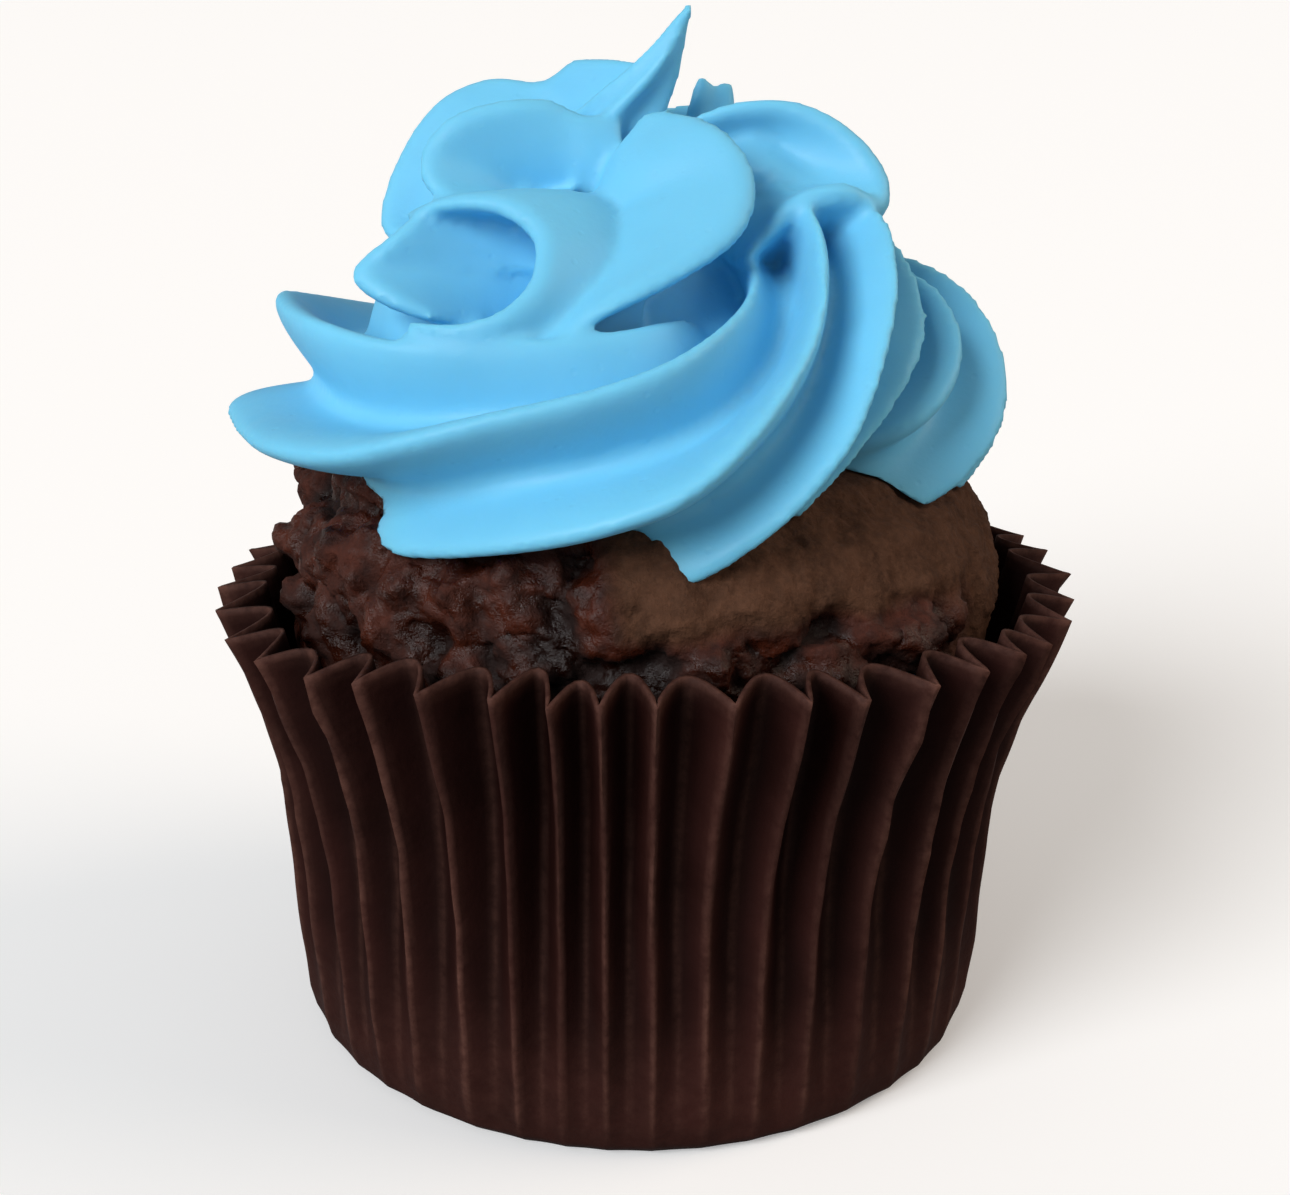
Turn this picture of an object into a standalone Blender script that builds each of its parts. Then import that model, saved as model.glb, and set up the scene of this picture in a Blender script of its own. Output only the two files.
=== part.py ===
"""Cupcake in a pleated paper case with a clockwise piped swirl of buttercream.

Built in metres, +Z up, standing on Z = 0 with its bounding box centred on the Z axis.
Three separate solids: paper_case, sponge and buttercream, 0.3 mm apart where they meet.
All tables below are in millimetres and degrees.
"""
import math

import bmesh
import bpy
import numpy as np

MM = 0.001

# Driving dimensions, mm
GAP = 0.3               # between touching pieces
PLEATS = 42             # pleats round the case
PLEAT_DEPTH = 4.0       # crease to valley at the rim
PAPER = 0.42            # wall of the case, measured along the radius
PAPER_BASE = 0.30       # flat bottom of the case
CASE_HEIGHT = 38.7
CASE_BASE_RADIUS = 28.7
CASE_RIM_RADIUS = 37.5
TOTAL_HEIGHT = 85.0
TEETH = 7               # teeth of the open star nozzle
OFF_CENTRE = -0.9       # the swirl sits a little to the left on the sponge
CREAM_TRIANGLES = 5000

# Outline of the creases of the case: radius, height
WALL_BEND = 15.0        # height where the outer wall has a row that the inner wall skips
CASE_OUTLINE = [
    (CASE_BASE_RADIUS, 0.0), (30.1, 2.2), (31.3, WALL_BEND), (32.1, 24.0), (34.2, 31.0),
    (CASE_RIM_RADIUS, CASE_HEIGHT),
]

# Outline of the sponge: radius, height
SPONGE_OUTLINE = [
    (27.2, PAPER_BASE + GAP), (28.5, 2.4), (28.8, 8.0), (28.9, 16.0), (28.9, 24.0),
    (29.6, 31.0), (30.3, 37.0), (30.2, 42.0), (28.9, 46.0), (27.0, 49.0),
    (23.0, 51.6), (17.0, 53.4), (9.0, 54.6), (0.0, 55.0),
]

# Lower ring of the swirl, followed clockwise from its start at the front right:
# azimuth, ring radius, height, tooth tip radius, valley share, twist, top press, foot press
RING = [
    (362, 9.5, 66.0, 4.0, 0.50, 148, 0.00, 0.30),
    (350, 13.0, 64.8, 7.8, 0.36, 130, 0.00, 0.30),
    (334, 15.5, 62.8, 9.6, 0.40, 108, 0.00, 0.30),
    (321, 17.5, 61.0, 10.3, 0.48, 92, 0.04, 0.28),
    (309, 19.0, 58.5, 10.6, 0.48, 70, 0.06, 0.26),
    (300, 20.0, 56.2, 10.9, 0.48, 50, 0.08, 0.24),
    (290, 20.8, 54.4, 11.4, 0.48, 30, 0.08, 0.22),
    (279, 21.2, 53.3, 12.0, 0.48, 9, 0.10, 0.20),
    (267, 21.2, 53.0, 12.0, 0.48, -6, 0.15, 0.24),
    (252, 21.2, 52.9, 12.0, 0.48, -20, 0.18, 0.26),
    (231, 21.0, 52.8, 11.9, 0.48, -40, 0.14, 0.26),
    (215, 20.9, 53.0, 12.0, 0.47, -47, 0.06, 0.30),
    (200, 20.8, 53.5, 12.0, 0.46, -51, 0.04, 0.44),
    (180, 20.8, 53.6, 12.0, 0.46, -55, 0.02, 0.44),
    (90, 20.6, 53.5, 11.8, 0.48, -130, 0.10, 0.34),
    (30, 20.0, 53.6, 11.8, 0.52, -197, 0.05, 0.26),
    (5, 20.0, 53.8, 12.0, 0.55, -250, 0.00, 0.20),
    (-12, 19.6, 53.6, 11.6, 0.56, -297, 0.00, 0.16),
    (-26, 18.2, 53.0, 11.2, 0.58, -330, 0.00, 0.14),
    (-38, 17.0, 52.6, 9.2, 0.60, -345, 0.00, 0.14),
    (-48, 14.0, 53.5, 5.0, 0.65, -360, 0.00, 0.20),
]

# Second turn, seen at the back under the folds of the top
UPPER_RING = [
    (215, 6.0, 64.0, 4.0, 0.60, 40, 0.0, 0.0),
    (190, 9.0, 66.0, 9.0, 0.45, 10, 0.0, 0.0),
    (140, 10.0, 66.5, 10.0, 0.42, -35, 0.0, 0.0),
    (90, 10.0, 67.0, 10.0, 0.42, -80, 0.0, 0.0),
    (40, 9.5, 67.6, 9.6, 0.42, -130, 0.0, 0.0),
    (5, 8.0, 68.4, 8.0, 0.45, -170, 0.0, 0.0),
    (-20, 6.0, 70.0, 3.5, 0.60, -200, 0.0, 0.0),
]

# Folds of the top layer: crest line, root line, half thickness at crest and root, bow
FOLDS = {
    "centre_petal": (
        [(1.5, -3, 77.5), (3.8, -5, 77.3), (7.2, -9, 76.2), (9.3, -12.5, 73), (8.2, -16, 69.8),
         (4, -18.5, 67), (-1.5, -20.5, 64.5), (-6, -21.0, 62)],
        [(-2.0, -2.2, 69.8), (-1.5, -3.4, 69.6), (-0.6, -5, 69.2), (0.5, -6, 68), (0, -8, 66.5),
         (-1, -9, 65), (-3, -9, 62), (-5, -9, 60)],
        0.9, 3.8, -1.5),
    "right_lobe": (
        [(4, -3, 76.6), (8, -3, 77.8), (13, -3, 77.8), (17.0, -4, 76.0), (19.8, -6, 72.8),
         (19.6, -8, 70.6), (16.5, -9.8, 72.0), (13, -10.3, 71.3), (10.5, -11.3, 69.0),
         (8.4, -12.6, 66.8)],
        [(7, 1, 71), (8, 2, 71.5), (9.5, 2, 72), (10.5, 1, 72), (11.5, 0, 71.5),
         (12, -1.5, 70.5), (12, -3, 69.5), (11, -4, 68.5), (9, -5, 67.5), (7, -6, 66)],
        0.9, 4.2, 0.3),
    "curl": (
        [(-18, -8, 69.3), (-14.5, -11, 70.8), (-10, -13.5, 71.0), (-7.0, -16.2, 69.2),
         (-7.2, -19.3, 66.3), (-9.8, -21.2, 64.3), (-13.4, -20.9, 63.6), (-16.2, -19.6, 63.8)],
        [(-8, -3, 69), (-5, -5, 68.5), (-2.5, -7, 68.3), (-1.2, -9.5, 66.8), (-1, -12, 63),
         (-4, -14, 59), (-9, -13, 56), (-12, -11, 56)],
        0.8, 3.2, 0.8),
    "spoon": (
        [(-1, -1, 77), (-4, -2, 77), (-6.5, -2, 78), (-9.7, -3, 78), (-14, -4, 76.8),
         (-16.3, -5, 74.3), (-16, -7, 72), (-13, -9, 70.5)],
        [(-1, -2, 72), (-3, -1, 71), (-5, 0, 71), (-6, 1, 70), (-7, 1, 70), (-7, 1, 69),
         (-7, 0, 68), (-6, -1, 67)],
        0.9, 3.2, 0.8),
    "back_left_lobe": (
        [(-17, -3, 66.5), (-20.8, 2, 67.5), (-20, 6, 72), (-16.5, 9, 77), (-12, 10, 78.8),
         (-7.5, 8, 78.9), (-5, 6.5, 80.6), (-3, 5, 80.9), (0, 2, 81)],
        [(-8, 0, 64), (-8, 1, 66), (-7, 2, 68), (-5, 3, 70), (-3, 3, 71), (-2, 3, 71.5),
         (-1, 3, 72), (0, 2, 73), (1, 1, 74)],
        1.1, 4.5, 0.0),
    "tongue": (
        [(-13, -6, 70.6), (-16, -9, 70.0), (-18.9, -11, 68.0), (-21.2, -12, 65.8),
         (-19, -14, 64.4), (-15, -15, 63.0)],
        [(-5, -3, 70), (-5, -4, 69), (-5, -5, 67), (-5, -6, 65), (-5, -7, 62), (-5, -8, 60)],
        0.9, 3.5, 0.0),
    "back_fold": (
        [(20, 2, 70), (18.5, 8, 72.5), (13, 13, 74.5), (6, 15.5, 75.5), (-2, 16, 75),
         (-9, 14.5, 72.5), (-15, 11, 69)],
        [(8, 1, 68), (7, 3, 69), (5, 4, 70), (2, 5, 70), (0, 5, 70), (-3, 5, 69), (-6, 4, 67)],
        1.1, 5.0, 1.0),
    "small_peak": (
        [(4, 5, 75), (5.5, 5.5, 79.6), (6.6, 6, 78.6), (7.8, 6, 79.2), (8.2, 6, 75)],
        [(4, 4, 71), (5, 4, 71), (6, 4, 71), (7, 4, 71), (8, 4, 71)],
        0.7, 1.8, 0.0),
}

# Pulled peak that leans over the middle: x, y, z, radius, twist
PEAK = [
    (-2.0, 3.8, 70.0, 6.6, 0), (-1.8, 3.0, 74.0, 5.4, 20), (-0.6, 1.6, 77.0, 3.9, 40),
    (1.1, 0.5, 79.5, 2.7, 55), (2.6, -0.2, 81.8, 1.6, 70), (3.7, -0.4, 83.8, 0.9, 80),
    (4.5, -0.4, TOTAL_HEIGHT + 0.2, 0.45, 90),
]

# Filled middle of the swirl: radius, height
CORE = [(0, 49.5), (17, 49.5), (18, 58), (14.0, 64.0), (9, 69.2), (4.5, 73), (0, 74.5)]


def clear_objects():
    """Start from an empty list of objects."""
    for ob in list(bpy.data.objects):
        bpy.data.objects.remove(ob, do_unlink=True)
    bpy.context.view_layer.update()


def plain_material(name, colour, roughness):
    """Principled material with one plain colour."""
    mat = bpy.data.materials.new(name)
    mat.use_nodes = True
    bsdf = mat.node_tree.nodes["Principled BSDF"]
    bsdf.inputs["Base Color"].default_value = (*colour, 1.0)
    bsdf.inputs["Roughness"].default_value = roughness
    mat.diffuse_color = (*colour, 1.0)
    return mat


def smooth_rows(rows, steps):
    """Even, smooth run of rows through the rows of a table."""
    p = np.array(rows, float)
    span = np.linalg.norm(np.diff(p[:, :3], axis=0), axis=1) ** 0.5 + 1e-6
    s = np.concatenate([[0.0], np.cumsum(span)])
    d = np.diff(p, axis=0) / span[:, None]
    m = np.zeros_like(p)
    m[0] = d[0]
    m[-1] = d[-1]
    m[1:-1] = (d[1:] * span[:-1, None] + d[:-1] * span[1:, None]) / (s[2:] - s[:-2])[:, None]
    out = []
    for x in np.linspace(0.0, s[-1], steps):
        k = min(max(int(np.searchsorted(s, x)) - 1, 0), len(p) - 2)
        h = s[k + 1] - s[k]
        q = (x - s[k]) / h
        out.append(
            (2 * q**3 - 3 * q**2 + 1) * p[k] + (q**3 - 2 * q**2 + q) * h * m[k]
            + (3 * q**2 - 2 * q**3) * p[k + 1] + (q**3 - q**2) * h * m[k + 1])
    return np.array(out)


def unit(v):
    """Rows of v at length one."""
    return v / np.linalg.norm(v, axis=1)[:, None]


def skin(name, rings):
    """Closed body through a run of rings given in millimetres, capped at both ends."""
    rings = np.asarray(rings, float) * MM
    rows, around = rings.shape[:2]
    verts = [tuple(v) for v in rings.reshape(-1, 3)]
    faces = []
    for i in range(rows - 1):
        for j in range(around):
            k = (j + 1) % around
            a = i * around + j
            b = i * around + k
            faces.append((a, b, b + around, a + around))
    verts.append(tuple(rings[0].mean(axis=0)))
    verts.append(tuple(rings[-1].mean(axis=0)))
    first = rows * around
    for j in range(around):
        k = (j + 1) % around
        faces.append((first, k, j))
        faces.append((first + 1, (rows - 1) * around + j, (rows - 1) * around + k))
    return body_from(name, verts, faces)


def body_from(name, verts, faces):
    """Mesh object with its faces turned outward."""
    me = bpy.data.meshes.new(name)
    me.from_pydata(verts, [], faces)
    bm = bmesh.new()
    bm.from_mesh(me)
    bmesh.ops.remove_doubles(bm, verts=bm.verts, dist=1e-6)
    bmesh.ops.recalc_face_normals(bm, faces=bm.faces)
    bmesh.ops.triangulate(bm, faces=bm.faces)
    bm.to_mesh(me)
    bm.free()
    ob = bpy.data.objects.new(name, me)
    bpy.context.scene.collection.objects.link(ob)
    return ob


def lathe(name, outline, segments, wobble=None):
    """Turned body; the outline runs from the axis or a flat bottom up to the axis."""
    verts = []
    faces = []
    angles = np.linspace(0.0, 2 * math.pi, segments, endpoint=False)
    rows = [row for row in outline if row[0] > 1e-6]
    for r, z in rows:
        for a in angles:
            dr, dz = wobble(r, z, a) if wobble else (0.0, 0.0)
            verts.append(((r + dr) * math.cos(a) * MM, (r + dr) * math.sin(a) * MM, (z + dz) * MM))
    for i in range(len(rows) - 1):
        for j in range(segments):
            k = (j + 1) % segments
            faces.append((i * segments + j, i * segments + k,
                          (i + 1) * segments + k, (i + 1) * segments + j))
    verts.append((0.0, 0.0, outline[0][1] * MM))
    verts.append((0.0, 0.0, outline[-1][1] * MM))
    first = len(rows) * segments
    top = (len(rows) - 1) * segments
    for j in range(segments):
        k = (j + 1) % segments
        faces.append((first, k, j))
        faces.append((first + 1, top + j, top + k))
    return body_from(name, verts, faces)


def outline_radius(outline, z):
    """Radius of an outline at a height."""
    heights = [row[1] for row in outline]
    radii = [row[0] for row in outline]
    return float(np.interp(z, heights, radii))


def pleat_depth(z):
    """Depth of the pleats at a height: none at the foot, full at the rim."""
    t = max(0.0, z / CASE_HEIGHT)
    return 0.15 + (PLEAT_DEPTH - 0.15) * t ** 1.15


def pleat(turn):
    """0 on the sharp outer creases, 1 in the rounded valleys."""
    return abs(math.sin(0.5 * PLEATS * turn))


def gathered(a):
    """Turn of the pleats at an azimuth: the paper is gathered closer at the front and back."""
    return (a - 0.050 * np.sin(2 * a) + 0.030 * np.sin(3 * a - 1.2)
            + 0.012 * np.sin(7 * a - 1.3) + 0.010 * np.sin(11 * a + 0.4))


def build_case():
    """Pleated wall with a flat bottom, open at the top."""
    per_pleat = 4
    segments = PLEATS * per_pleat
    azimuths = np.linspace(-1.0, 7.3, 8300)
    turns = np.linspace(0.0, 2 * math.pi, segments, endpoint=False)
    angles = np.interp(turns, gathered(azimuths), azimuths)
    inner = [(r, z) for r, z in CASE_OUTLINE[1:] if z != WALL_BEND]
    inner = [(outline_radius(CASE_OUTLINE, PAPER_BASE), PAPER_BASE)] + inner
    rows = [(r, z, 0.0) for r, z in CASE_OUTLINE]
    rows += [(r, z, PAPER if z > 1.0 else PAPER * 1.6) for r, z in reversed(inner)]
    rings = []
    for r, z, inset in rows:
        ring = []
        for turn, a in zip(turns, angles):
            radius = r - inset - pleat_depth(z) * pleat(turn)
            ring.append((radius * math.cos(a), radius * math.sin(a), z))
        rings.append(ring)
    return skin("paper_case", rings)


def sponge_wobble(r, z, a):
    """Uneven bake of the bare shoulder of the sponge; even under the buttercream and in the case."""
    shoulder = math.exp(-((z - 43.0) / 3.4) ** 2)
    left = 0.5 - 0.5 * math.cos(a - math.radians(25))
    bumps = 0.45 * math.sin(9 * a + 0.7 * z) + 0.35 * math.sin(17 * a - 0.9 * z + 1.3)
    return shoulder * (0.25 + 0.75 * left) * bumps, 0.0


def build_sponge(name="sponge", grow=0.0):
    """Solid sponge with a low dome; grow swells it evenly for use as a cutter."""
    outline = SPONGE_OUTLINE
    if grow:
        outline = [(r + grow if r > 1e-6 else 0.0, z + grow * min(1.0, max(0.0, (z - 36) / 10)))
                   for r, z in SPONGE_OUTLINE]
    return lathe(name, outline, 48, sponge_wobble)


def star(angle, sharp=1.8):
    """Tooth height round the star: 1 on a tooth, 0 in a valley."""
    return ((1 + np.cos(angle * TEETH)) / 2) ** sharp


def build_rope(name, stations, steps=300, around=126):
    """Star-shaped rope laid round the sponge, its teeth winding from top to outside to foot."""
    rows = smooth_rows(
        [(r * math.cos(math.radians(a)), r * math.sin(math.radians(a)), z, tip, valley, twist, tp, ft)
         for a, r, z, tip, valley, twist, tp, ft in stations], steps)
    path = rows[:, :3]
    side = unit(np.stack([path[:, 0], path[:, 1], 0 * path[:, 0]], axis=1))
    up = np.array([0.0, 0.0, 1.0])
    b = np.linspace(0.0, 2 * math.pi, around, endpoint=False)
    rings = []
    for i in range(steps):
        tip, valley, twist, top, foot = rows[i, 3:]
        r = tip * (valley + (1 - valley) * star(b - math.radians(twist)))
        r = r * (1 - top * np.clip(np.sin(b), 0, 1) ** 2) * (1 - foot * np.clip(-np.sin(b) * 1.25, 0, 1))
        rings.append(path[i] + side[i] * (r * np.cos(b))[:, None] + up * (r * np.sin(b))[:, None])
    return skin(name, rings)


def build_fold(name, crest, root, edge, base, bow, steps=48, across=12):
    """Petal of buttercream standing from a root line up to a rounded, thinner crest line."""
    c = smooth_rows(crest, steps)
    r = smooth_rows(root, steps)
    height = np.linalg.norm(r - c, axis=1)
    down = unit(r - c)
    face = unit(np.cross(unit(np.gradient(c, axis=0)), down))
    s = np.linspace(0.0, 1.0, across)
    rings = []
    for i in range(steps):
        ends = math.sin(math.pi * (i + 0.5) / steps) ** 0.35
        half = ends * (edge + (base - edge) * s ** 1.6)
        half = half * np.sqrt(np.clip(1 - (1 - np.minimum(1, s * height[i] / edge)) ** 2, 0, 1))
        mid = c[i] + down[i] * (s * height[i])[:, None] + face[i] * (bow * np.sin(math.pi * s))[:, None]
        rings.append(np.vstack([mid + face[i] * half[:, None], (mid - face[i] * half[:, None])[::-1][:-1]]))
    return skin(name, rings)


def build_peak(steps=40, around=40):
    """Ridged peak pulled up and over as the nozzle left the swirl."""
    b = np.linspace(0.0, 2 * math.pi, around, endpoint=False)
    rings = []
    for x, y, z, r, twist in smooth_rows(PEAK, steps):
        rr = r * (0.66 + 0.34 * ((1 + np.cos(5 * (b - math.radians(twist)))) / 2) ** 1.5)
        rings.append(np.stack([x + rr * np.cos(b), y + rr * np.sin(b), z + 0 * b], axis=1))
    return skin("peak", rings)


def apply_modifier(ob, kind, **settings):
    """Add a modifier, set it and apply it."""
    for other in bpy.data.objects:
        other.select_set(False)
    bpy.context.view_layer.objects.active = ob
    ob.select_set(True)
    mod = ob.modifiers.new(kind.title(), kind)
    for key, value in settings.items():
        setattr(mod, key, value)
    bpy.ops.object.modifier_apply(modifier=mod.name)


def keep_largest(ob):
    """Drop crumbs and closed bubbles, keeping the one outer skin."""
    bm = bmesh.new()
    bm.from_mesh(ob.data)
    left = set(bm.verts)
    shells = []
    while left:
        seed = left.pop()
        shell = {seed}
        stack = [seed]
        while stack:
            v = stack.pop()
            for e in v.link_edges:
                w = e.other_vert(v)
                if w in left:
                    left.discard(w)
                    shell.add(w)
                    stack.append(w)
        shells.append(shell)
    shells.sort(key=len)
    for shell in shells[:-1]:
        bmesh.ops.delete(bm, geom=list(shell), context="VERTS")
    bm.to_mesh(ob.data)
    bm.free()


def build_buttercream():
    """Ring, folds, peak and filled middle grown together into one body on the dome."""
    pieces = [build_rope("ring", RING), build_rope("upper_ring", UPPER_RING, 120, 98),
              lathe("core", CORE, 48), build_peak()]
    for name, (crest, root, edge, base, bow) in FOLDS.items():
        pieces.append(build_fold(name, crest, root, edge, base, bow))
    for other in bpy.data.objects:
        other.select_set(False)
    for ob in pieces:
        ob.select_set(True)
    body = pieces[0]
    bpy.context.view_layer.objects.active = body
    bpy.ops.object.join()
    body.name = "buttercream"
    for v in body.data.vertices:
        v.co.x += OFF_CENTRE * MM
    apply_modifier(body, "REMESH", mode="VOXEL", voxel_size=0.8 * MM)
    apply_modifier(body, "SMOOTH", factor=0.5, iterations=2)
    keep_largest(body)
    count = sum(len(f.vertices) - 2 for f in body.data.polygons)
    apply_modifier(body, "DECIMATE", ratio=CREAM_TRIANGLES / count)
    cutter = build_sponge("dome_cutter", GAP + 0.05)
    cutter.hide_render = True
    cutter.display_type = "WIRE"
    apply_modifier(body, "BOOLEAN", operation="DIFFERENCE", solver="EXACT", object=cutter)
    bpy.data.objects.remove(cutter, do_unlink=True)
    keep_largest(body)
    bm = bmesh.new()
    bm.from_mesh(body.data)
    bmesh.ops.triangulate(bm, faces=bm.faces)
    bmesh.ops.remove_doubles(bm, verts=bm.verts, dist=0.00008)
    bmesh.ops.dissolve_degenerate(bm, edges=bm.edges, dist=0.00002)
    bmesh.ops.triangulate(bm, faces=bm.faces)
    bm.to_mesh(body.data)
    bm.free()
    return body


def centre_on_axis(obs):
    """Move the whole so its box is centred on the Z axis and stands on Z = 0."""
    pts = np.array([v.co[:] for ob in obs for v in ob.data.vertices])
    low = pts.min(axis=0)
    high = pts.max(axis=0)
    shift = np.array([-(low[0] + high[0]) / 2, -(low[1] + high[1]) / 2, -low[2]])
    for ob in obs:
        for v in ob.data.vertices:
            v.co = [v.co[i] + shift[i] for i in range(3)]


def main():
    """Build the three solids."""
    clear_objects()
    cream = build_buttercream()
    case = build_case()
    sponge = build_sponge()
    centre_on_axis([case, sponge, cream])
    case.data.materials.append(plain_material("case_paper", (0.035, 0.012, 0.009), 0.65))
    sponge.data.materials.append(plain_material("chocolate_sponge", (0.076, 0.035, 0.020), 0.75))
    cream.data.materials.append(plain_material("blue_buttercream", (0.185, 0.590, 0.860), 0.45))
    for ob in (case, sponge, cream):
        for f in ob.data.polygons:
            f.use_smooth = True


main()
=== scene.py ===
"""Cupcake: a pleated paper case, a chocolate sponge and a clockwise piped swirl of buttercream.

Laid out as an add-on: sizes and colours are properties, each piece has its own operator, and
a panel in the 3D view's sidebar lists them. Tables are in millimetres and degrees.
"""
import math

import bmesh
import bpy
import numpy as np
from mathutils import Matrix, Vector


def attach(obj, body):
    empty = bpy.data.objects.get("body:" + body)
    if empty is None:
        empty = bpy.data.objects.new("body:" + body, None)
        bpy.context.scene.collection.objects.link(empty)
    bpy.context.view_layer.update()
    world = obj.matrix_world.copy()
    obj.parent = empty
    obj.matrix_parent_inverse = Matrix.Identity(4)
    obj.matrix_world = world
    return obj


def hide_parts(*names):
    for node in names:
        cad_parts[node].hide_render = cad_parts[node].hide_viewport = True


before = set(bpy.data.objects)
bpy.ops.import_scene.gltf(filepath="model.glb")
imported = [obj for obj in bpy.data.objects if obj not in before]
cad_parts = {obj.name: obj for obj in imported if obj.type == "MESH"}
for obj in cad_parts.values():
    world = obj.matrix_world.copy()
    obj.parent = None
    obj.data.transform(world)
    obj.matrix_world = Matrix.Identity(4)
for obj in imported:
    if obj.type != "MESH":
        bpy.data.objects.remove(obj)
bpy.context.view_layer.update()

bl_info = {
    "name": "Piped Cupcake",
    "version": (1, 0, 0),
    "blender": (4, 5, 0),
    "location": "View3D > Sidebar > Cupcake",
    "description": "Builds a cupcake in a pleated case with a piped buttercream swirl",
    "category": "Add Mesh",
}

MM = 0.001
TOTAL_HEIGHT = 85.0

# Creases of the case: radius, height
CASE_OUTLINE = [
    (28.7, 0.0), (29.8, 1.0), (30.3, 3.0), (30.8, 8.0), (31.2, 14.0), (31.5, 19.5),
    (32.1, 24.0), (33.4, 29.0), (35.5, 34.0), (37.3, 38.7),
]

# Outline of the sponge: radius, height
SPONGE_OUTLINE = [
    (27.2, 0.6), (28.5, 2.4), (28.2, 8.0), (28.0, 16.0), (28.0, 24.0), (29.0, 31.0),
    (29.8, 36.0), (30.6, 39.0), (30.4, 42.0), (29.2, 45.5), (27.0, 48.6), (23.0, 51.3),
    (17.0, 53.3), (9.0, 54.6), (0.0, 55.0),
]

OFF_CENTRE = -0.9       # the swirl sits a little to the left on the sponge
DOME_TILT = 0.052       # the sponge rose higher on the left: drop per unit to the right
MOIST_SIDE = 208        # azimuth of the middle of the moist, sunken side
MOIST_RIM = 262         # azimuth of the middle of the moist front rim

# Lower ring of the swirl, followed clockwise from its start at the front right:
# azimuth, ring radius, height, tooth tip radius, valley share, twist, top press, foot press
RING = [
    (362, 9.5, 66.0, 4.0, 0.50, 148, 0.00, 0.30),
    (350, 13.0, 64.8, 7.8, 0.36, 130, 0.00, 0.30),
    (334, 15.5, 62.8, 9.6, 0.40, 108, 0.00, 0.30),
    (321, 17.5, 61.0, 10.3, 0.48, 92, 0.04, 0.28),
    (309, 19.0, 58.5, 10.6, 0.48, 70, 0.06, 0.26),
    (300, 20.0, 56.2, 10.9, 0.48, 50, 0.08, 0.24),
    (290, 20.8, 54.4, 11.4, 0.48, 30, 0.08, 0.22),
    (279, 21.2, 53.3, 12.0, 0.48, 9, 0.10, 0.20),
    (267, 21.2, 53.0, 12.0, 0.48, -6, 0.15, 0.24),
    (252, 21.2, 52.9, 12.0, 0.48, -20, 0.18, 0.26),
    (231, 21.0, 52.8, 11.9, 0.48, -40, 0.14, 0.26),
    (215, 20.9, 53.0, 12.0, 0.47, -47, 0.06, 0.30),
    (200, 20.8, 53.5, 12.0, 0.46, -51, 0.04, 0.44),
    (180, 20.8, 53.6, 12.0, 0.46, -55, 0.02, 0.44),
    (90, 20.6, 53.5, 11.8, 0.48, -130, 0.10, 0.34),
    (30, 20.0, 53.6, 11.8, 0.52, -197, 0.05, 0.26),
    (5, 20.0, 53.8, 12.0, 0.55, -250, 0.00, 0.20),
    (-12, 19.6, 53.6, 11.6, 0.56, -297, 0.00, 0.16),
    (-26, 18.2, 53.0, 11.2, 0.58, -330, 0.00, 0.14),
    (-38, 17.0, 52.6, 9.2, 0.60, -345, 0.00, 0.14),
    (-48, 14.0, 53.5, 5.0, 0.65, -360, 0.00, 0.20),
]

# Second turn, seen at the back under the folds of the top
UPPER_RING = [
    (215, 6.0, 64.0, 4.0, 0.60, 40, 0.0, 0.0),
    (190, 9.0, 66.0, 9.0, 0.45, 10, 0.0, 0.0),
    (140, 10.0, 66.5, 10.0, 0.42, -35, 0.0, 0.0),
    (90, 10.0, 67.0, 10.0, 0.42, -80, 0.0, 0.0),
    (40, 9.5, 67.6, 9.6, 0.42, -130, 0.0, 0.0),
    (5, 8.0, 68.4, 8.0, 0.45, -170, 0.0, 0.0),
    (-20, 6.0, 70.0, 3.5, 0.60, -200, 0.0, 0.0),
]

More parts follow.
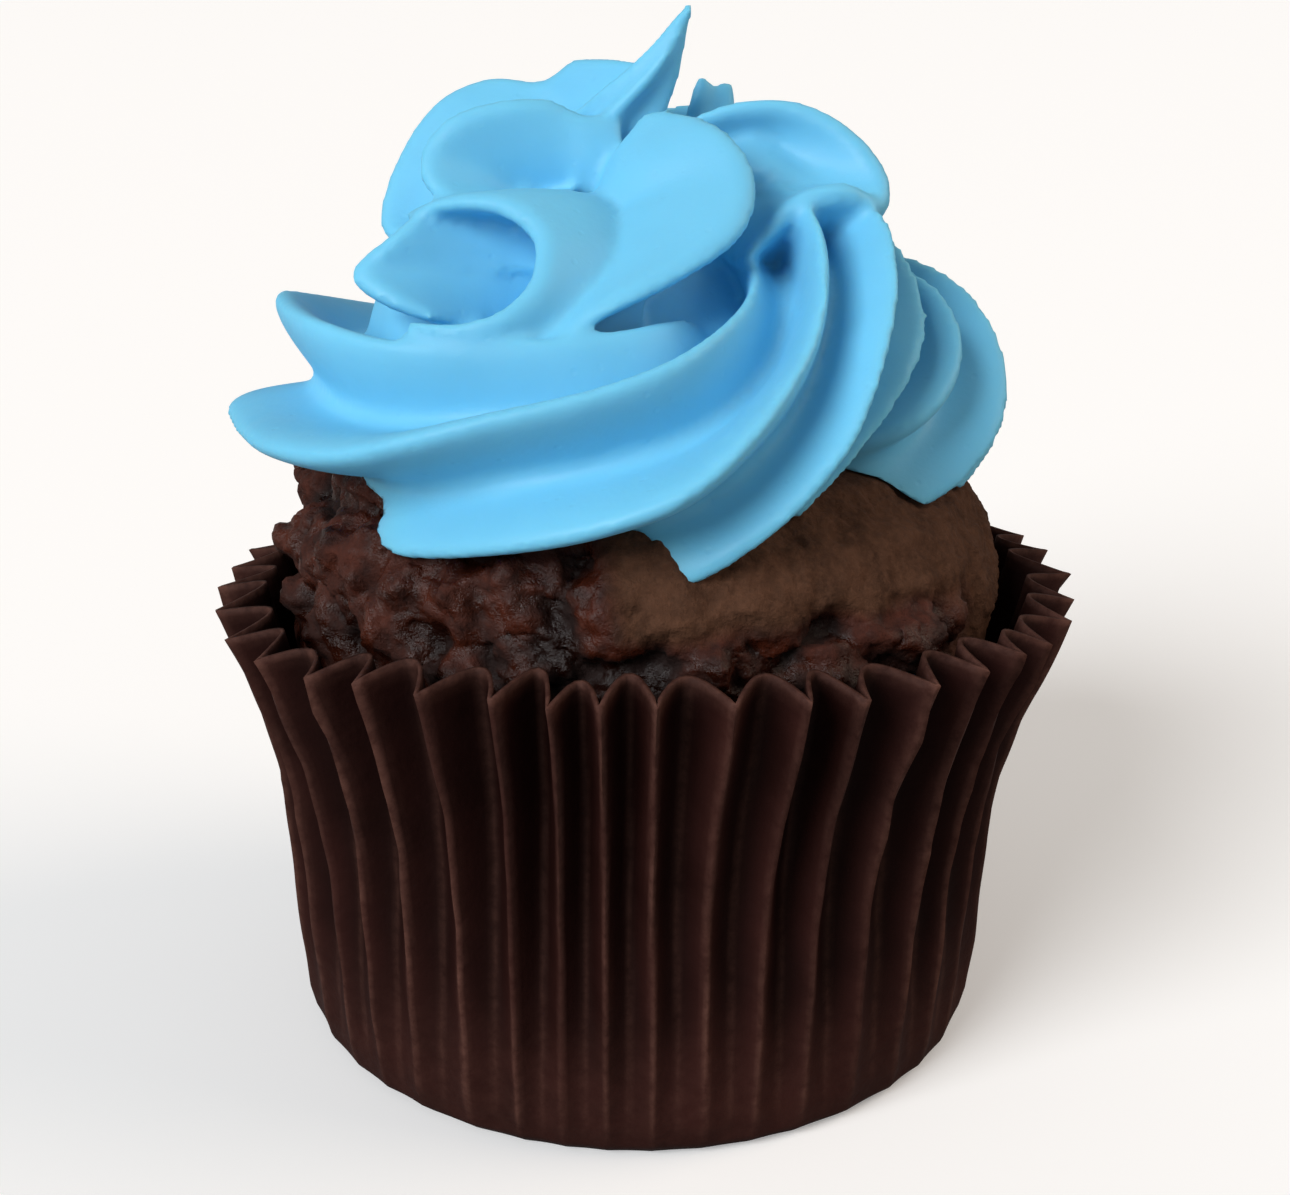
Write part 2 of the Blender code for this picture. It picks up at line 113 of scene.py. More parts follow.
# Folds of the top layer: crest line, root line, half thickness at crest and root, bow
FOLDS = {
    "centre_petal": (
        [(1.5, -3, 77.5), (3.8, -5, 77.3), (7.2, -9, 76.2), (9.3, -12.5, 73), (8.2, -16, 69.8),
         (4, -18.5, 67), (-1.5, -20.5, 64.5), (-6, -21.0, 62)],
        [(-2.0, -2.2, 69.8), (-1.5, -3.4, 69.6), (-0.6, -5, 69.2), (0.5, -6, 68), (0, -8, 66.5),
         (-1, -9, 65), (-3, -9, 62), (-5, -9, 60)],
        0.9, 3.8, -1.5),
    "right_lobe": (
        [(4, -3, 76.6), (8, -3, 77.8), (13, -3, 77.8), (17.0, -4, 76.0), (19.8, -6, 72.8),
         (19.6, -8, 70.6), (16.5, -9.8, 72.0), (13, -10.3, 71.3), (10.5, -11.3, 69.0),
         (8.4, -12.6, 66.8)],
        [(7, 1, 71), (8, 2, 71.5), (9.5, 2, 72), (10.5, 1, 72), (11.5, 0, 71.5),
         (12, -1.5, 70.5), (12, -3, 69.5), (11, -4, 68.5), (9, -5, 67.5), (7, -6, 66)],
        0.9, 4.2, 0.3),
    "curl": (
        [(-18, -8, 69.3), (-14.5, -11, 70.8), (-10, -13.5, 71.0), (-7.0, -16.2, 69.2),
         (-7.2, -19.3, 66.3), (-9.8, -21.2, 64.3), (-13.4, -20.9, 63.6), (-16.2, -19.6, 63.8)],
        [(-8, -3, 69), (-5, -5, 68.5), (-2.5, -7, 68.3), (-1.2, -9.5, 66.8), (-1, -12, 63),
         (-4, -14, 59), (-9, -13, 56), (-12, -11, 56)],
        0.8, 3.2, 0.8),
    "spoon": (
        [(-1, -1, 77), (-4, -2, 77), (-6.5, -2, 78), (-9.7, -3, 78), (-14, -4, 76.8),
         (-16.3, -5, 74.3), (-16, -7, 72), (-13, -9, 70.5)],
        [(-1, -2, 72), (-3, -1, 71), (-5, 0, 71), (-6, 1, 70), (-7, 1, 70), (-7, 1, 69),
         (-7, 0, 68), (-6, -1, 67)],
        0.9, 3.2, 0.8),
    "back_left_lobe": (
        [(-17, -3, 66.5), (-20.8, 2, 67.5), (-20, 6, 72), (-16.5, 9, 77), (-12, 10, 78.8),
         (-7.5, 8, 78.9), (-5, 6.5, 80.6), (-3, 5, 80.9), (0, 2, 81)],
        [(-8, 0, 64), (-8, 1, 66), (-7, 2, 68), (-5, 3, 70), (-3, 3, 71), (-2, 3, 71.5),
         (-1, 3, 72), (0, 2, 73), (1, 1, 74)],
        1.1, 4.5, 0.0),
    "tongue": (
        [(-13, -6, 70.6), (-16, -9, 70.0), (-18.9, -11, 68.0), (-21.2, -12, 65.8),
         (-19, -14, 64.4), (-15, -15, 63.0)],
        [(-5, -3, 70), (-5, -4, 69), (-5, -5, 67), (-5, -6, 65), (-5, -7, 62), (-5, -8, 60)],
        0.9, 3.5, 0.0),
    "back_fold": (
        [(20, 2, 70), (18.5, 8, 72.5), (13, 13, 74.5), (6, 15.5, 75.5), (-2, 16, 75),
         (-9, 14.5, 72.5), (-15, 11, 69)],
        [(8, 1, 68), (7, 3, 69), (5, 4, 70), (2, 5, 70), (0, 5, 70), (-3, 5, 69), (-6, 4, 67)],
        1.1, 5.0, 1.0),
    "small_peak": (
        [(4, 5, 75), (5.5, 5.5, 79.6), (6.6, 6, 78.6), (7.8, 6, 79.2), (8.2, 6, 75)],
        [(4, 4, 71), (5, 4, 71), (6, 4, 71), (7, 4, 71), (8, 4, 71)],
        0.7, 1.8, 0.0),
}

# Pulled peak that leans over the middle: x, y, z, radius, twist
PEAK = [
    (-2.0, 3.8, 70.0, 6.6, 0), (-1.8, 3.0, 74.0, 5.4, 20), (-0.6, 1.6, 77.0, 3.9, 40),
    (1.1, 0.5, 79.5, 2.7, 55), (2.6, -0.2, 81.8, 1.6, 70), (3.7, -0.4, 83.8, 0.9, 80),
    (4.5, -0.4, TOTAL_HEIGHT + 0.2, 0.45, 90),
]

# Light of the room, colour that the floor throws back, and the lamps:
# name, azimuth, elevation, strength, spread of the light, colour
ROOM_LIGHT = 0.27
FLOOR_BOUNCE = (0.38, 0.38, 0.38)
FLOOR_GLOW = 0.19
FLOOR_SIZE = 40.0
LAMPS = [
    ("window", 228, 30, 2.85, 34, (0.96, 0.98, 1.0)),
    ("fill", 2, 34, 1.1, 40, (1.0, 0.82, 0.66)),
]

# Camera: place in metres, downward pitch and roll in degrees, lens in millimetres
CAMERA_PLACE = (0.0004, -0.148, 0.087)
CAMERA_PITCH = 19.0
CAMERA_ROLL = 0.47
CAMERA_LENS = 50.23

# Buttercream that fills between the folds: x, y, z, radius
FILLING = [(9.5, 1.0, 71.0, 5.2), (-2.5, 4.5, 72.0, 5.0), (4.0, -1.5, 70.5, 3.6)]

# Filled middle of the swirl: radius, height
CORE = [(17, 49.5), (18, 57.5), (14.0, 62.0), (9, 66.0), (4.5, 68.5), (0, 69.5)]


class CupcakeSizes(bpy.types.PropertyGroup):
    """Sizes of the three pieces."""
    pleats: bpy.props.IntProperty(
        name="Pleats", description="Pleats round the paper case", default=42, min=12)
    pleat_depth: bpy.props.FloatProperty(
        name="Pleat Depth", description="Crease to valley at the rim",
        default=4.0 * MM, subtype="DISTANCE", unit="LENGTH")
    paper: bpy.props.FloatProperty(
        name="Paper", description="Thickness of the case",
        default=0.3 * MM, subtype="DISTANCE", unit="LENGTH")
    case_height: bpy.props.FloatProperty(
        name="Case Height", description="Height of the rim of the case",
        default=38.7 * MM, subtype="DISTANCE", unit="LENGTH")
    teeth: bpy.props.IntProperty(
        name="Teeth", description="Teeth of the open star nozzle", default=7, min=4)
    cream_grain: bpy.props.FloatProperty(
        name="Cream Grain", description="Size of the smallest facets of the buttercream",
        default=0.45 * MM, subtype="DISTANCE", unit="LENGTH")


class CupcakeColours(bpy.types.PropertyGroup):
    """Colours of the three pieces and the stage."""
    paper: bpy.props.FloatVectorProperty(
        name="Paper", description="Brown of the case", subtype="COLOR", size=3,
        default=(0.0250, 0.0072, 0.0058), min=0, max=1)
    # Paler brown painted on the creases, the rim edge and the lower wall as their highlight
    paper_crease_highlight: bpy.props.FloatVectorProperty(
        name="Paper Crease Highlight", description="Paler brown of the worn creases", subtype="COLOR", size=3,
        default=(0.125, 0.056, 0.042), min=0, max=1)
    crumb: bpy.props.FloatVectorProperty(
        name="Crumb", description="Dry top of the sponge", subtype="COLOR", size=3,
        default=(0.076, 0.035, 0.020), min=0, max=1)
    crumb_moist: bpy.props.FloatVectorProperty(
        name="Moist Crumb", description="Moist, sunken side of the sponge", subtype="COLOR", size=3,
        default=(0.050, 0.0110, 0.0052), min=0, max=1)
    cream: bpy.props.FloatVectorProperty(
        name="Buttercream", description="Pale blue of the buttercream", subtype="COLOR", size=3,
        default=(0.165, 0.560, 0.820), min=0, max=1)
    floor: bpy.props.FloatVectorProperty(
        name="Floor", description="Pale floor and backdrop", subtype="COLOR", size=3,
        default=(0.90, 0.90, 0.90), min=0, max=1)


# Meshes

def smooth_rows(rows, steps):
    """Even, smooth run of rows through the rows of a table."""
    p = np.array(rows, float)
    span = np.linalg.norm(np.diff(p[:, :3], axis=0), axis=1) ** 0.5 + 1e-6
    s = np.concatenate([[0.0], np.cumsum(span)])
    d = np.diff(p, axis=0) / span[:, None]
    m = np.zeros_like(p)
    m[0] = d[0]
    m[-1] = d[-1]
    m[1:-1] = (d[1:] * span[:-1, None] + d[:-1] * span[1:, None]) / (s[2:] - s[:-2])[:, None]
    out = []
    for x in np.linspace(0.0, s[-1], steps):
        k = min(max(int(np.searchsorted(s, x)) - 1, 0), len(p) - 2)
        h = s[k + 1] - s[k]
        q = (x - s[k]) / h
        out.append(
            (2 * q**3 - 3 * q**2 + 1) * p[k] + (q**3 - 2 * q**2 + q) * h * m[k]
            + (3 * q**2 - 2 * q**3) * p[k + 1] + (q**3 - q**2) * h * m[k + 1])
    return np.array(out)


def unit(v):
    """Rows of v at length one."""
    return v / np.linalg.norm(v, axis=1)[:, None]


def skin(name, rings):
    """Closed body through a run of rings given in millimetres, capped at both ends."""
    rings = np.asarray(rings, float) * MM
    rows, around = rings.shape[:2]
    verts = [tuple(v) for v in rings.reshape(-1, 3)]
    faces = []
    for i in range(rows - 1):
        for j in range(around):
            k = (j + 1) % around
            a = i * around + j
            b = i * around + k
            faces.append((a, b, b + around, a + around))
    verts.append(tuple(rings[0].mean(axis=0)))
    verts.append(tuple(rings[-1].mean(axis=0)))
    first = rows * around
    for j in range(around):
        k = (j + 1) % around
        faces.append((first, k, j))
        faces.append((first + 1, (rows - 1) * around + j, (rows - 1) * around + k))
    me = bpy.data.meshes.new(name)
    me.from_pydata(verts, [], faces)
    bm = bmesh.new()
    bm.from_mesh(me)
    bmesh.ops.remove_doubles(bm, verts=bm.verts, dist=1e-7)
    bmesh.ops.recalc_face_normals(bm, faces=bm.faces)
    bm.to_mesh(me)
    bm.free()
    ob = bpy.data.objects.new(name, me)
    bpy.context.scene.collection.objects.link(ob)
    return ob


def deselect():
    """Leave nothing selected."""
    if bpy.context.object and bpy.context.object.mode != "OBJECT":
        bpy.ops.object.mode_set(mode="OBJECT")
    bpy.ops.object.select_all(action="DESELECT")


def make_active(ob):
    """Select one object alone and work on it."""
    deselect()
    ob.select_set(True)
    bpy.context.view_layer.objects.active = ob


def apply_modifier(ob, kind, **settings):
    """Add a modifier, set it and apply it."""
    make_active(ob)
    mod = ob.modifiers.new(kind.title(), kind)
    for key, value in settings.items():
        setattr(mod, key, value)
    bpy.ops.object.modifier_apply(modifier=mod.name)


def raise_rings(name, sides, outline):
    """Disc drawn up ring by ring along an outline, as a pot is thrown; a zero radius shuts the top."""
    deselect()
    radius, height = outline[0]
    bpy.ops.mesh.primitive_circle_add(
        vertices=sides, radius=radius * MM, fill_type="TRIFAN", location=(0, 0, 0))
    ob = bpy.context.object
    ob.name = name
    bpy.ops.object.mode_set(mode="EDIT")
    bpy.ops.mesh.select_all(action="SELECT")
    bpy.ops.transform.translate(value=(0, 0, height * MM))
    bpy.ops.mesh.region_to_loop()
    for next_radius, next_height in outline[1:]:
        rise = (next_height - height) * MM
        bpy.ops.mesh.extrude_region_move(TRANSFORM_OT_translate={"value": (0, 0, rise)})
        if next_radius < 1e-6:
            bpy.ops.mesh.merge(type="CENTER")
            break
        share = next_radius / radius
        bpy.ops.transform.resize(value=(share, share, 1))
        radius, height = next_radius, next_height
    bpy.ops.mesh.select_all(action="SELECT")
    bpy.ops.mesh.normals_make_consistent(inside=False)
    bpy.ops.object.mode_set(mode="OBJECT")
    return ob


def fine_outline(outline, spacing):
    """The outline resampled so that rings lie about a spacing apart, as given for each height."""
    p = np.array(outline, float)
    s = np.concatenate([[0.0], np.cumsum(np.linalg.norm(np.diff(p, axis=0), axis=1))])
    out = []
    at = 0.0
    while at < s[-1]:
        r = float(np.interp(at, s, p[:, 0]))
        z = float(np.interp(at, s, p[:, 1]))
        out.append((r, z))
        at += spacing(r, z)
    out.append((float(p[-1, 0]), float(p[-1, 1])))
    return out


def coordinates(ob):
    """Vertices of a mesh as rows, in millimetres."""
    v = np.empty(len(ob.data.vertices) * 3)
    ob.data.vertices.foreach_get("co", v)
    return v.reshape(-1, 3) / MM


def move_vertices(ob, v):
    """Put the vertices of a mesh where the rows say, in millimetres."""
    ob.data.vertices.foreach_set("co", (v * MM).ravel())
    ob.data.update()


def paint(ob, name, values):
    """Store one number per vertex under a name that a material can read."""
    layer = ob.data.attributes.new(name, "FLOAT", "POINT")
    layer.data.foreach_set("value", np.asarray(values, float))


def weigh(ob, name, values):
    """Vertex group from one weight per vertex."""
    group = ob.vertex_groups.new(name=name)
    for i, w in enumerate(values):
        if w > 0.001:
            group.add([i], float(w), "REPLACE")
    return group.name


def noise_texture(name, kind, size, **settings):
    """Procedural texture for a Displace modifier; size in metres."""
    tex = bpy.data.textures.new(name, kind)
    tex.noise_scale = size
    for key, value in settings.items():
        setattr(tex, key, value)
    return tex


def smoothstep(low, high, x):
    """0 below low, 1 above high, eased between."""
    t = np.clip((x - low) / (high - low), 0, 1)
    return t * t * (3 - 2 * t)


# Materials

class Nodes:
    """Small helper that adds and links shader nodes by name."""

    def __init__(self, mat):
        mat.use_nodes = True
        self.tree = mat.node_tree
        self.bsdf = self.tree.nodes["Principled BSDF"]
        self.coord = self.tree.nodes.new("ShaderNodeTexCoord")

    def add(self, kind, inputs=(), **settings):
        node = self.tree.nodes.new(kind)
        for key, value in settings.items():
            setattr(node, key, value)
        for key, value in dict(inputs).items():
            if isinstance(value, bpy.types.NodeSocket):
                self.tree.links.new(value, node.inputs[key])
            else:
                node.inputs[key].default_value = value
        return node

    def noise(self, scale, detail=4.0, rough=0.55, distortion=0.0):
        return self.add("ShaderNodeTexNoise", {
            "Vector": self.coord.outputs["Object"], "Scale": scale, "Detail": detail,
            "Roughness": rough, "Distortion": distortion}).outputs["Fac"]

    def voronoi(self, scale, feature="F1"):
        return self.add("ShaderNodeTexVoronoi", {
            "Vector": self.coord.outputs["Object"], "Scale": scale}, feature=feature).outputs["Distance"]

    def attribute(self, name):
        return self.add("ShaderNodeAttribute", attribute_name=name).outputs["Fac"]

    def ramp(self, value, low, high, out_low=0.0, out_high=1.0):
        return self.add("ShaderNodeMapRange", {
            "Value": value, "From Min": low, "From Max": high,
            "To Min": out_low, "To Max": out_high}).outputs["Result"]

    def maths(self, kind, a, b):
        return self.add("ShaderNodeMath", {0: a, 1: b}, operation=kind).outputs[0]

    def mix(self, share, a, b):
        node = self.add("ShaderNodeMix", {"Factor": share}, data_type="RGBA")
        for key, value in (("A", a), ("B", b)):
            socket = [s for s in node.inputs if s.name == key and s.type == "RGBA"][0]
            if isinstance(value, bpy.types.NodeSocket):
                self.tree.links.new(value, socket)
            else:
                socket.default_value = (*value, 1.0)
        return [s for s in node.outputs if s.type == "RGBA"][0]

    def bump(self, height, strength, distance, under=None):
        inputs = {"Height": height, "Strength": strength, "Distance": distance}
        if under is not None:
            inputs["Normal"] = under
        return self.add("ShaderNodeBump", inputs).outputs["Normal"]

    def set(self, name, value):
        if isinstance(value, bpy.types.NodeSocket):
            self.tree.links.new(value, self.bsdf.inputs[name])
        else:
            self.bsdf.inputs[name].default_value = value


def darker(colour, share):
    """The colour with its light scaled."""
    return tuple(min(1.0, c * share) for c in colour)


def paper_material(colours):
    """Dark greaseproof paper with faint grease marks, painted shade in the valleys between its creases and
    a painted highlight on the creases, broken up by the fibre.
    """
    mat = bpy.data.materials.new("case_paper")
    n = Nodes(mat)
    painted_highlight = n.attribute("painted_highlight")
    fibre = n.noise(900, 6, 0.7)
    blotch = n.noise(90, 3, 0.6)
    base = n.mix(n.ramp(blotch, 0.35, 0.65), darker(colours.paper, 0.75), darker(colours.paper, 1.3))
    # Painted shade: the inward valleys between the creases darkened
    base = n.mix(n.maths("MULTIPLY", n.attribute("valley"), 0.8), base, darker(colours.paper, 0.22))
    # Painted highlight: the creases, the rim edge and the lower wall turned to the paler brown, broken up
    # by the fibre
    highlit = n.maths("MULTIPLY", painted_highlight, n.ramp(fibre, 0.35, 0.62, 0.35, 1.0))
    n.set("Base Color", n.mix(highlit, base, tuple(colours.paper_crease_highlight)))
    n.set("Roughness", n.ramp(blotch, 0.3, 0.7, 0.5, 0.68))
    n.set("Specular IOR Level", 0.05)
    n.set("Normal", n.bump(fibre, 0.35, 0.00025, n.bump(n.noise(260, 3), 0.4, 0.0005)))
    return mat


def sponge_material(colours):
    """Chocolate crumb: matte and finely pitted, turning wet, dark and red where it sank; painted shade
    darkens its pits and the low moist rim.
    """
    mat = bpy.data.materials.new("chocolate_sponge")
    n = Nodes(mat)
    moist = n.attribute("moist")
    pit_shade = n.attribute("pit_shade")
    grain = n.noise(1500, 5, 0.75)
    clump = n.noise(330, 5, 0.65)
    dry = n.mix(n.ramp(clump, 0.36, 0.66), darker(colours.crumb, 0.62), darker(colours.crumb, 1.22))
    dry = n.mix(n.ramp(grain, 0.44, 0.66, 0.0, 0.55), dry, darker(colours.crumb, 1.6))
    wet = n.mix(n.ramp(clump, 0.38, 0.62), darker(colours.crumb_moist, 0.45),
                darker(colours.crumb_moist, 1.35))
    both = n.mix(n.ramp(moist, 0.25, 0.7), dry, wet)
    # Painted shade: the pits and the low moist rim turned nearly black
    n.set("Base Color", n.mix(pit_shade, both, darker(colours.crumb_moist, 0.18)))
    dull = n.ramp(n.noise(420, 3), 0.42, 0.58, 0.10, 0.80)
    wetness = n.ramp(moist, 0.3, 0.75)
    n.set("Roughness", n.maths("ADD", n.maths("MULTIPLY", dull, wetness),
                               n.maths("MULTIPLY", 0.82, n.maths("SUBTRACT", 1.0, wetness))))
    n.set("Specular IOR Level", n.ramp(moist, 0.3, 0.8, 0.08, 0.26))
    small = n.bump(grain, 0.5, 0.0004)
    n.set("Normal", n.bump(clump, 0.55, 0.0012, small))
    return mat


def cream_material(colours):
    """Satin buttercream with a soft glow, faint drag marks and a few burst air bubbles."""
    mat = bpy.data.materials.new("blue_buttercream")
    n = Nodes(mat)
    cloud = n.noise(60, 3, 0.5)
    bubbles = n.voronoi(520)
    base = n.mix(n.ramp(cloud, 0.3, 0.7), darker(colours.cream, 0.95), darker(colours.cream, 1.04))
    n.set("Base Color", base)
    n.set("Roughness", n.ramp(n.noise(240, 3), 0.3, 0.7, 0.42, 0.56))
    n.set("Specular IOR Level", 0.28)
    n.set("Subsurface Weight", 0.25)
    n.set("Subsurface Radius", (0.4, 0.8, 1.0))
    n.set("Subsurface Scale", 0.0018)
    fine = n.bump(n.noise(700, 4, 0.6), 0.10, 0.0004)
    n.set("Normal", n.bump(n.ramp(bubbles, 0.05, 0.16), 0.10, 0.0004, fine))
    return mat


# Pieces

def finish_piece(ob, node, material):
    """Put a finished piece in its CAD node's place."""
    ob.data.materials.clear()
    ob.data.materials.append(material)
    make_active(ob)
    bpy.ops.object.shade_smooth()
    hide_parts(node)
    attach(ob, "root")


class CUPCAKE_OT_paper_case(bpy.types.Operator):
    """Draw up the wall of the case, fold it into pleats and give the paper its thickness"""
    bl_idname = "cupcake.paper_case"
    bl_label = "Paper Case"

    def execute(self, context):
        sizes = context.scene.cupcake_sizes
        height = sizes.case_height / MM
        outline = fine_outline(CASE_OUTLINE, lambda r, z: 0.45 if z < 3 else 0.8)
        ob = raise_rings("paper_case_folded", sizes.pleats * 14, outline)
        v = coordinates(ob)
        r = np.hypot(v[:, 0], v[:, 1])
        a = np.arctan2(v[:, 1], v[:, 0])
        t = np.clip(v[:, 2] / height, 0, 1)
        uneven = (-0.050 * np.sin(2 * a) + 0.030 * np.sin(3 * a - 1.2)
                  + 0.012 * np.sin(7 * a - 1.3) + 0.010 * np.sin(11 * a + 0.4))
        lean = (0.016 * np.sin(5 * a + 1.0 + 2.2 * t) + 0.010 * np.sin(13 * a + 3.0 * t)) * t
        turn = a + uneven + lean
        wave = np.abs(np.sin(0.5 * sizes.pleats * turn))
        each = 1 + 0.16 * np.sin(6.3 * turn + 1.2) + 0.10 * np.sin(15.7 * turn)
        depth = 0.12 + (sizes.pleat_depth / MM - 0.12) * t ** 1.05
        crumple = 0.12 * np.sin(23 * a + 9 * t) * np.sin(17 * t + 5 * a) * smoothstep(0.02, 0.2, t)
        wall = smoothstep(27.6, 28.6, r)
        fold = wall * depth * each * wave ** 0.9
        flare = smoothstep(0.55, 1.0, t)
        lip = 0.9 * np.sin(2 * a - 0.6) + 0.45 * np.sin(5 * a + 0.9) + 0.25 * np.sin(9 * a)
        front = np.clip(-np.sin(a), 0, 1) ** 2
        lip = lip * 0.6 - 1.5 * front
        new_r = r - fold + wall * crumple + wall * flare * np.minimum(lip, 0.35)
        scallop = wave - 0.4 + 1.6 * front - 0.35 * np.cos(2 * a)
        rim = t ** 5 * (scallop + 0.25 * np.sin(8 * turn) + 0.15 * np.sin(19 * turn))
        v[:, 0] = new_r * np.cos(a) + 0.5 * smoothstep(0.5, 1.0, t)
        v[:, 1] = new_r * np.sin(a)
        v[:, 2] = v[:, 2] + rim
        move_vertices(ob, v)
        # Painted light on the paper: a highlight along the outer creases, a thinner one in the deepest
        # inward folds, a lighter rim edge and a wall lighter towards the bottom
        sharp = (1 - wave) ** 7 * smoothstep(0.01, 0.12, t)
        edge = smoothstep(0.975, 1.0, t)
        inward = 0.22 * wave ** 40 * smoothstep(0.02, 0.15, t)
        highlit = 0.10 * smoothstep(0.40, 0.08, t) + inward + 0.5 * edge
        # Share of painted shade: highest in the inward valleys, fading out low on the wall
        paint(ob, "valley", np.clip(wave, 0, 1) * smoothstep(0.06, 0.42, t))
        paint(ob, "painted_highlight", np.clip(sharp * (0.75 + 0.25 * np.sin(9 * a + 4 * t)) + highlit, 0, 1))
        apply_modifier(ob, "SOLIDIFY", thickness=sizes.paper, offset=-1, use_even_offset=False)
        finish_piece(ob, "paper_case", paper_material(context.scene.cupcake_colours))
        return {"FINISHED"}


def tilted(v):
    """Rows of the dome leaned down to the right; the part inside the case stays put."""
    out = v.copy()
    out[:, 2] -= DOME_TILT * v[:, 0] * smoothstep(34, 46, v[:, 2])
    return out


def moistness(v):
    """Share of the sunken, moist side: the left and the front rim, fading over the crown."""
    a = np.degrees(np.arctan2(v[:, 1], v[:, 0])) % 360
    side = smoothstep(68, 50, np.abs(a - MOIST_SIDE))
    rim = smoothstep(45.0, 41.5, v[:, 2]) * smoothstep(80, 50, np.abs(a - MOIST_RIM))
    ragged = 0.22 * np.sin(0.55 * v[:, 0] + 0.3 * v[:, 2]) * np.sin(0.5 * v[:, 1] - 0.4 * v[:, 2])
    return np.clip(np.maximum(side, rim) + ragged, 0, 1)


class CUPCAKE_OT_sponge(bpy.types.Operator):
    """Raise the solid sponge and roughen its bare shoulder with crumb, lumps and pits"""
    bl_idname = "cupcake.sponge"
    bl_label = "Sponge"

    def execute(self, context):
        outline = fine_outline(
            SPONGE_OUTLINE, lambda r, z: 2.5 if z < 33 else (0.28 if z < 51.5 else max(0.5, r * 0.06)))
        ob = raise_rings("sponge_crumb", 560, outline)
        v = tilted(coordinates(ob))
        moist = moistness(v)
        bare = smoothstep(35, 38.5, v[:, 2]) * smoothstep(52, 49.5, v[:, 2])
        a = np.arctan2(v[:, 1], v[:, 0])
        r = np.hypot(v[:, 0], v[:, 1])
        swell = bare * (0.5 * np.sin(3 * a + 0.4) + 0.3 * np.sin(7 * a))
        keep = np.maximum(r, 1e-6)
        v[:, 0] *= (r + swell) / keep
        v[:, 1] *= (r + swell) / keep
        move_vertices(ob, v)
        wet = weigh(ob, "wet", moist * bare)
        dry = weigh(ob, "dry", (1 - moist) * bare)
        lumps = noise_texture("lumps", "VORONOI", 0.0062, distance_metric="DISTANCE", noise_intensity=1.0)
        crags = noise_texture("crags", "CLOUDS", 0.0030, noise_depth=4, noise_basis="BLENDER_ORIGINAL")
        crumb = noise_texture("crumb", "CLOUDS", 0.0009, noise_depth=3, noise_basis="BLENDER_ORIGINAL")
        for tex, group, strength, middle in (
                (lumps, wet, -0.0052, 0.35), (crags, wet, 0.0030, 0.5), (crumb, wet, 0.0008, 0.5),
                (crags, dry, 0.0010, 0.5), (crumb, dry, 0.0006, 0.5)):
            apply_modifier(ob, "DISPLACE", texture=tex, vertex_group=group, strength=strength,
                           mid_level=middle, texture_coords="LOCAL")
        moved = coordinates(ob)
        sunk = np.hypot(v[:, 0], v[:, 1]) - np.hypot(moved[:, 0], moved[:, 1])
        paint(ob, "moist", moist)
        # Painted shade in the pits that the lumps sank and low on the moist rim by the case
        shade = 0.85 * smoothstep(41.5, 38.5, v[:, 2]) * moist
        paint(ob, "pit_shade", np.maximum(smoothstep(0.7, 1.7, sunk), shade) * bare)
        ob.vertex_groups.clear()
        finish_piece(ob, "sponge", sponge_material(context.scene.cupcake_colours))
        return {"FINISHED"}


def rope(name, stations, teeth, steps=520, around=210, sharp=1.8):
    """Star-shaped rope laid clockwise, its teeth winding from the top to the outside to the foot."""
    rows = smooth_rows(
        [(r * math.cos(math.radians(a)), r * math.sin(math.radians(a)), z, tip, valley, twist, tp, ft)
         for a, r, z, tip, valley, twist, tp, ft in stations], steps)
    path = rows[:, :3]
    side = unit(np.stack([path[:, 0], path[:, 1], 0 * path[:, 0]], axis=1))
    up = np.array([0.0, 0.0, 1.0])
    b = np.linspace(0.0, 2 * math.pi, around, endpoint=False)
    rings = []
    for i in range(steps):
        tip, valley, twist, top, foot = rows[i, 3:]
        tooth = ((1 + np.cos((b - math.radians(twist)) * teeth)) / 2) ** sharp
        r = tip * (valley + (1 - valley) * tooth)
        r = r * (1 - top * np.clip(np.sin(b), 0, 1) ** 2) * (1 - foot * np.clip(-np.sin(b) * 1.25, 0, 1))
        rings.append(path[i] + side[i] * (r * np.cos(b))[:, None] + up * (r * np.sin(b))[:, None])
    return skin(name, rings)


def fold(name, crest, root, edge, base, bow, steps=120, across=22):
    """Petal of buttercream standing from a root line up to a rounded, thinner crest line."""
    c = smooth_rows(crest, steps)
    r = smooth_rows(root, steps)
    height = np.linalg.norm(r - c, axis=1)
    down = unit(r - c)
    face = unit(np.cross(unit(np.gradient(c, axis=0)), down))
    s = np.linspace(0.0, 1.0, across)
    rings = []
    for i in range(steps):
        ends = math.sin(math.pi * (i + 0.5) / steps) ** 0.35
        half = ends * (edge + (base - edge) * s ** 1.6)
        half = half * np.sqrt(np.clip(1 - (1 - np.minimum(1, s * height[i] / edge)) ** 2, 0, 1))
        mid = c[i] + down[i] * (s * height[i])[:, None] + face[i] * (bow * np.sin(math.pi * s))[:, None]
        rings.append(np.vstack([mid + face[i] * half[:, None], (mid - face[i] * half[:, None])[::-1][:-1]]))
    return skin(name, rings)


def pulled_peak(steps=80, around=70):
    """Ridged peak pulled up and over as the nozzle left the swirl."""
    b = np.linspace(0.0, 2 * math.pi, around, endpoint=False)
    rings = []
    for x, y, z, r, twist in smooth_rows(PEAK, steps):
        rr = r * (0.66 + 0.34 * ((1 + np.cos(5 * (b - math.radians(twist)))) / 2) ** 1.5)
        rings.append(np.stack([x + rr * np.cos(b), y + rr * np.sin(b), z + 0 * b], axis=1))
    return skin("peak", rings)


